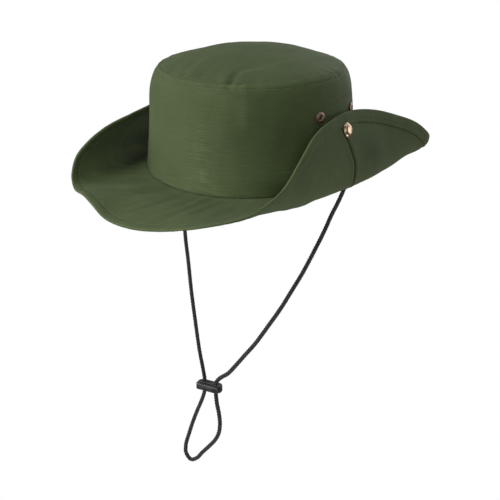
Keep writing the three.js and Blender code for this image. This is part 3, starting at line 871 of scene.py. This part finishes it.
@lru_cache(maxsize=None)
def brim_curve(turn):
    """Points across the brim at a turn, from the crown's foot to the edge, and how far along each is."""
    degrees = math.degrees(turn) % 360
    count = len(BRIM_LINES)
    i = max(k for k in range(count) if BRIM_LINES[k].turn <= degrees)
    rows = [BRIM_LINES[(i + k) % count] for k in (-1, 0, 1, 2)]
    ats = [row.turn + 360 * ((i + k) // count) for k, row in zip((-1, 0, 1, 2), rows)]
    spans = [b - a for a, b in zip(ats, ats[1:])]
    t = (degrees - ats[1]) / spans[1]
    edge = hermite(*(Vector(row.edge) for row in rows), spans, t)
    fold = hermite(*(Vector(row.fold) for row in rows), spans, t)
    foot = oval_point(turn, 0)
    leave, arrive = foot.lerp(fold, BRIM["bend"]), edge.lerp(fold, BRIM["bend"])
    points = []
    for s in (k / BRIM_SAMPLES for k in range(BRIM_SAMPLES + 1)):
        points.append(
            foot * (1 - s) ** 3 + leave * 3 * s * (1 - s) ** 2 + arrive * 3 * s * s * (1 - s) + edge * s**3
        )
    return points, running_lengths(points)


def brim_point(turn, along):
    """The brim's upper face; along is 0 at the crown's foot and the brim's width at its edge."""
    if along < 0:
        return oval_point(turn, -along)
    points, lengths = brim_curve(turn)
    at = along / BRIM["width"] * lengths[-1]
    low = min(bisect_right(lengths, at) - 1, BRIM_SAMPLES - 1)
    before, after = points[max(low - 1, 0)], points[min(low + 2, BRIM_SAMPLES)]
    starts = (max(low - 1, 0), low, min(low + 1, BRIM_SAMPLES - 1))
    spans = [lengths[k + 1] - lengths[k] for k in starts]
    return hermite(before, points[low], points[low + 1], after, spans, (at - lengths[low]) / spans[1])


HEM_FOLD = BRIM["width"] - BRIM["hem_width"]
HEM_STITCH_LINE = BRIM["width"] - 8.2
HEM_OPENS = {"turn": math.radians(78), "over": math.radians(14)}
SIDE_SEAM = {"at_fold": 85.2, "at_snap": 82.0, "fold": 32, "snap": 59, "radius": 112}
FRONT_FOLDS = {"turn": math.radians(-12), "reach": math.radians(85), "fan": 0.004, "middle": 26, "rise": 48}
# A painted highlight along the brim's edge, strongest in front.
EDGE_HIGHLIGHT = {"turn": math.radians(-12), "reach": math.radians(60), "least": 0.16, "front": 0.22}
BRIM_FORMS = [Patch(10, 73, 55, 60, -1.8), Patch(46, 50, 13, 25, -2.0), Patch(100, 36, 14, 25, 2.2)]
# Soft patches of painted light (amount above 0) and painted shade (below 0), on the brim's upper face, which
# is inside the turned-up sides, and on its underside.
INSIDE_PATCHES = [Patch(-78, 52, 22, 24, 0.5), Patch(-72, 8, 14, 14, -0.5), Patch(-86, 60, 14, 30, 0.5)]
OUTSIDE_PATCHES = [Patch(95, 40, 10, 22, -0.5), Patch(62, 35, 25, 30, 0.16)]


def from_seam(turn, along):
    """Millimetres round the brim from the nearer side seam, which leans forward from fold to snap."""
    share = min(max((along - SIDE_SEAM["fold"]) / (SIDE_SEAM["snap"] - SIDE_SEAM["fold"]), 0), 1)
    seam = math.radians(SIDE_SEAM["at_fold"] + (SIDE_SEAM["at_snap"] - SIDE_SEAM["at_fold"]) * share)
    return abs(abs(away_from(turn, 0)) - seam) * SIDE_SEAM["radius"]


def front_folds(turn, along):
    """Soft folds that fan out over the front of the brim, from about -1 to 1."""
    share = hump(away_from(turn, FRONT_FOLDS["turn"]), FRONT_FOLDS["reach"])
    share *= hump(along - FRONT_FOLDS["middle"], FRONT_FOLDS["rise"])
    return share * wrinkle(turn + along * FRONT_FOLDS["fan"], 19, 8.5 + along * 0.012)


def brim_relief(turn, along):
    """How far soft waves and folds move both faces of the brim towards its underside."""
    out = along / BRIM["width"]
    relief = 2.4 * wrinkle(turn, 3.2, 2.5 + along * 0.012) * out * (1.1 - out)
    relief += wrinkle(turn, 8, 6.5 + along * 0.02) * out * (1.15 - out)
    relief += front_folds(turn, along)
    relief += 0.25 * wrinkle(turn, 30, 1.5) * hump(along, 7)
    relief += 0.22 * wrinkle(turn, 34, 5.5 + along * 0.05) * hump(along - 68, 9)
    return relief + patched(BRIM_FORMS, turn, along)


def hem_shows(turn):
    """1 where the hem's fold stands open on the turned-up sides behind the snaps, and 0 in front of them."""
    return min(max((abs(away_from(turn, 0)) - HEM_OPENS["turn"]) / HEM_OPENS["over"], 0), 1)


def brim_place(turn, along, lift):
    """Where a point of the brim is; lift is 0 on the upper face, and more on the side with hem and seams."""
    relief = brim_relief(turn, along)
    if lift > BRIM["thickness"] / 2:
        relief += 0.3 * hump(along - 67, 5) - 0.35 * hump(along - HEM_STITCH_LINE, 0.9)
        relief -= (0.15 + 0.35 * hem_shows(turn)) * hump(along - HEM_FOLD + 0.4, 0.8)
        if along < HEM_FOLD:
            aside = from_seam(turn, along)
            relief -= 1.3 * hump(aside, 1.3) - 0.35 * hump(aside - 3.0, 2.5)
            relief += 1.5 * hump(aside, 50) * hump(along - 45, 40)
    else:
        relief += 0.4 * hump(along - HEM_STITCH_LINE, 1.0) - 0.2 * hump(along - 69, 3)
        relief += 0.05 * hump(along, 1.2)
    return over(brim_point, turn, min(along, BRIM["width"] - 0.2), lift + relief)[0]


def brim_shade(turn, along, lift):
    """Painted highlight along the edge, most in front; painted shade at the foot, in the side seams and hem.
    """
    at_front = hump(away_from(turn, EDGE_HIGHLIGHT["turn"]), EDGE_HIGHLIGHT["reach"])
    # Painted highlight along the edge.
    shade = (EDGE_HIGHLIGHT["least"] + EDGE_HIGHLIGHT["front"] * at_front) * hump(along - BRIM["width"], 1.6)
    if lift > BRIM["thickness"] / 2:
        # Painted shade in the hem's fold.
        shade -= (0.2 + 0.35 * hem_shows(turn)) * hump(along - HEM_FOLD + 0.3, 0.9)
        if along < HEM_FOLD:
            # Painted shade in the side seam's groove.
            shade -= 1.9 * hump(from_seam(turn, along), 1.6)
        return shade + patched(OUTSIDE_PATCHES, turn, along)
    # Painted shade in the valleys of the front folds, and painted light on their crests.
    shade -= 0.35 * front_folds(turn, along)
    # Painted light just beyond the foot, and painted shade in the corner at the foot.
    shade += 0.2 * hump(along - 4, 5) - 0.45 * hump(along - 0.2, 1.4)
    # Painted shade in the groove of the hem's stitches.
    shade -= 0.2 * hump(along - HEM_STITCH_LINE, 1.0)
    return shade + patched(INSIDE_PATCHES, turn, along)


BRIM_STEPS = [-1.5, -0.6, 0.4, 1.2, 2.4, 4] + [6 + 2.1 * k for k in range(26)]
BRIM_STEPS += [60.2, 60.9, 61.3, 61.6, 61.9, 62.2, 62.8, 63.6, 64.2, 64.5, 64.8, 65.1, 65.6, 66.4, 67.6]
BRIM_STEPS += [69, 70.2, 71.2]
thickness, hem_face, brim_edge = BRIM["thickness"], BRIM["thickness"] + BRIM["hem_extra"], BRIM["width"]
brim_profile = [(along, thickness if along < HEM_FOLD else hem_face) for along in BRIM_STEPS]
brim_profile += [
    (brim_edge - 1.1, hem_face - 0.1), (brim_edge - 0.5, hem_face - 0.4), (brim_edge - 0.1, hem_face - 0.85),
    (brim_edge, 1.3), (brim_edge - 0.1, 0.85), (brim_edge - 0.5, 0.4), (brim_edge - 1.1, 0.1),
]
brim_profile += [(along, 0) for along in reversed(BRIM_STEPS)]
SEAM_COLUMNS = {"after": 81, "before": 87, "first": 81.2, "over": 5.6, "count": 33}
brim_turns = [
    math.radians(k) for k in range(360)
    if not SEAM_COLUMNS["after"] < min(k, 360 - k) < SEAM_COLUMNS["before"]
]
for k in range(SEAM_COLUMNS["count"]):
    seam_turn = math.radians(SEAM_COLUMNS["first"] + SEAM_COLUMNS["over"] * k / (SEAM_COLUMNS["count"] - 1))
    brim_turns += [seam_turn, TAU - seam_turn]
brim_turns.sort()


def brim_flat(turn, along):
    """The brim was cut as a flat ring, so its threads run straight across each half."""
    reach = CLOTH_RADIUS + along
    return (reach * math.sin(turn) * MM, -reach * math.cos(turn) * MM)


brim_bm = spun(brim_profile, brim_turns, brim_place, brim_flat, brim_shade)
add_piece("brim_cloth", brim_bm, canvas, "hat", ["brim"])


def hem_stitch(turn, under):
    """A place on the hem's line of stitches and the direction out of the cloth, under the brim or on top."""
    point, normal = over(brim_point, turn, HEM_STITCH_LINE, brim_relief(turn, HEM_STITCH_LINE))
    return (point + normal * (hem_face - 0.05), normal) if under else (point + normal * 0.2, -normal)


sew("hem_stitches_upper", lambda turn: hem_stitch(turn, False))
sew("hem_stitches_under", lambda turn: hem_stitch(turn, True))

# Snaps
# A domed brass cap on each turned-up side, just inside the hem. Its other half joins brim and crown.
SNAP = {
    "cap": 6.5, "dome": 3.0, "dome_radius": 5.6, "rim": 0.8, "stud": 4.0,
    "turn": 84.4, "along": 0.805 * BRIM["width"],
}
DOME_STEPS = (0.995, 0.97, 0.93, 0.87, 0.8, 0.7, 0.6, 0.45, 0.3, 0.15)
brass = metal_material("antique_brass", (0.42, 0.29, 0.18), (0.58, 0.43, 0.29), 0.26, 0.05)
dome_radius, rim = SNAP["dome_radius"], SNAP["rim"]
cap_profile = [(0, 0), (dome_radius, 0)] + arc((SNAP["cap"] - 0.4, 0.4), 0.4, -90, 80, 5) + [(5.75, 0.75)]
cap_profile += [
    (dome_radius * out, rim + (SNAP["dome"] - rim) * math.sqrt(1 - out**3.2)) for out in DOME_STEPS
]
cap_profile += [(0, SNAP["dome"])]
stud_profile = [(0, -1), (3.3, -1), (SNAP["stud"] - 0.1, -0.9), (SNAP["stud"], -0.7)]
stud_profile += [(SNAP["stud"], 0.7), (SNAP["stud"] - 0.1, 0.9), (3.3, 1), (0, 1)]
for side_name, side in (("right", -1), ("left", 1)):
    turn = side * math.radians(SNAP["turn"])
    outside, normal = over(brim_point, turn, SNAP["along"], brim_relief(turn, SNAP["along"]) + hem_face + 0.1)
    add_piece(
        f"snap_dome_{side_name}", turned(cap_profile, 48, standing(outside, normal)), brass,
        "hat", [f"snap_cap_{side_name}"],
    )
    low, high = (Vector(corner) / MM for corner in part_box(f"snap_stud_{side_name}"))
    middle = (low + high) / 2
    wall_turn = math.atan2(middle.x / HEAD["half_width"], -middle.y / HEAD["half_length"])
    axis = middle - wall_point(wall_turn, along_at_height(wall_turn, middle.z))
    add_piece(
        f"snap_socket_{side_name}", turned(stud_profile, 32, standing(middle, axis.normalized())), brass,
        "hat", [f"snap_stud_{side_name}"],
    )

# Cord anchors
# Folded tabs of the same canvas inside the crown's foot, sewn over each end of the cord.
ANCHOR = {"width": 10, "height": 14, "thickness": 2.8, "bottom": 4}
for side_name, end in (("right", CORD_ROUTE[0]), ("left", CORD_ROUTE[-1])):
    tab = bmesh.new()
    block(tab, ANCHOR["width"], -ANCHOR["thickness"] / 2, ANCHOR["thickness"] / 2, ANCHOR["height"])
    bmesh.ops.subdivide_edges(tab, edges=tab.edges, cuts=5, use_grid_fill=True)
    uv = tab.loops.layers.uv.new("UVMap")
    for face in tab.faces:
        for loop in face.loops:
            loop[uv].uv = (loop.vert.co.x * MM, loop.vert.co.z * MM)
    for vert in tab.verts:
        x, z = vert.co.x / ANCHOR["width"] * 2, vert.co.z / ANCHOR["height"] * 2
        vert.co.y *= 1 - 0.35 * max(abs(x), abs(z)) ** 4 - 0.25 * hump(abs(z) - 0.55, 0.25)
        vert.co.x *= 1 - 0.06 * abs(z) ** 3
    outwards = math.atan2(end[1] / HEAD["half_length"] ** 2, end[0] / HEAD["half_width"] ** 2)
    facing = Matrix.Rotation(outwards, 4, "Z")
    place = Matrix.Translation((end[0], end[1], ANCHOR["bottom"] + ANCHOR["height"] / 2))
    sideways = Matrix.Rotation(math.pi / 2, 4, "Z")
    bmesh.ops.transform(tab, verts=tab.verts, matrix=Matrix.Scale(MM, 4) @ place @ facing @ sideways)
    add_piece(f"cord_tab_{side_name}", tab, canvas, "hat", [f"cord_anchor_{side_name}"])

# Light and floor
# Large soft lights round the hat, as in a studio. The plain white floor far below and the white backdrop
# all round glow evenly, and cast no light of their own.
FLOOR = {"depth": 4, "reach": 20}
WORLD_GLOW = 0.02
white = Nodes("white_studio").finish(
    Base_Color=(0, 0, 0, 1), Specular_IOR_Level=0.0, Emission_Color=(1, 1, 1, 1), Emission_Strength=1.0,
)


def stage_piece(name, bm):
    """Adds a white piece of the studio, seen by the camera but not by the hat."""
    mesh = as_mesh(name, bm)
    mesh.materials.append(white)
    piece = bpy.data.objects.new(name, mesh)
    piece.visible_diffuse = piece.visible_glossy = False
    scene.collection.objects.link(piece)


floor_bm = bmesh.new()
below = Matrix.Translation((0, 0, -FLOOR["depth"]))
bmesh.ops.create_circle(floor_bm, cap_ends=True, segments=64, radius=FLOOR["reach"], matrix=below)
stage_piece("floor", floor_bm)
backdrop_bm = bmesh.new()
bmesh.ops.create_uvsphere(backdrop_bm, u_segments=64, v_segments=32, radius=FLOOR["reach"])
bmesh.ops.reverse_faces(backdrop_bm, faces=backdrop_bm.faces)
stage_piece("backdrop", backdrop_bm)


Light = namedtuple("Light", "name turn pitch size watts")
LIGHTS = [
    Light("key", -35, 35, 0.9, 22.4),
    Light("key_fill", -60, 8, 0.9, 11.0),
    Light("front", 20, 8, 0.9, 8.3),
    Light("high_left", 50, 35, 0.9, 3.9),
    Light("back_left", 136, 1, 0.55, 5.6),
    Light("back_left_high", 140, 65, 0.9, 6.0),
    Light("back", 180, 8, 0.9, 12.9),
    Light("below_left", 80, -70, 0.9, 15.4),
]
LIGHT_DISTANCE = 1.6
for setting in LIGHTS:
    panel = bpy.data.lights.new(setting.name, "AREA")
    panel.shape = "SQUARE"
    panel.size = setting.size
    panel.energy = setting.watts
    lamp = bpy.data.objects.new(setting.name, panel)
    direction = towards(math.radians(setting.turn), math.radians(setting.pitch))
    lamp.location = direction * LIGHT_DISTANCE
    lamp.rotation_euler = direction.to_track_quat("Z", "Y").to_euler()
    scene.collection.objects.link(lamp)
scene.world = bpy.data.worlds.new("world")
scene.world.use_nodes = True
background = scene.world.node_tree.nodes["Background"]
background.inputs["Color"].default_value = (1, 1, 1, 1)
background.inputs["Strength"].default_value = WORLD_GLOW
scene.view_settings.view_transform = "Standard"
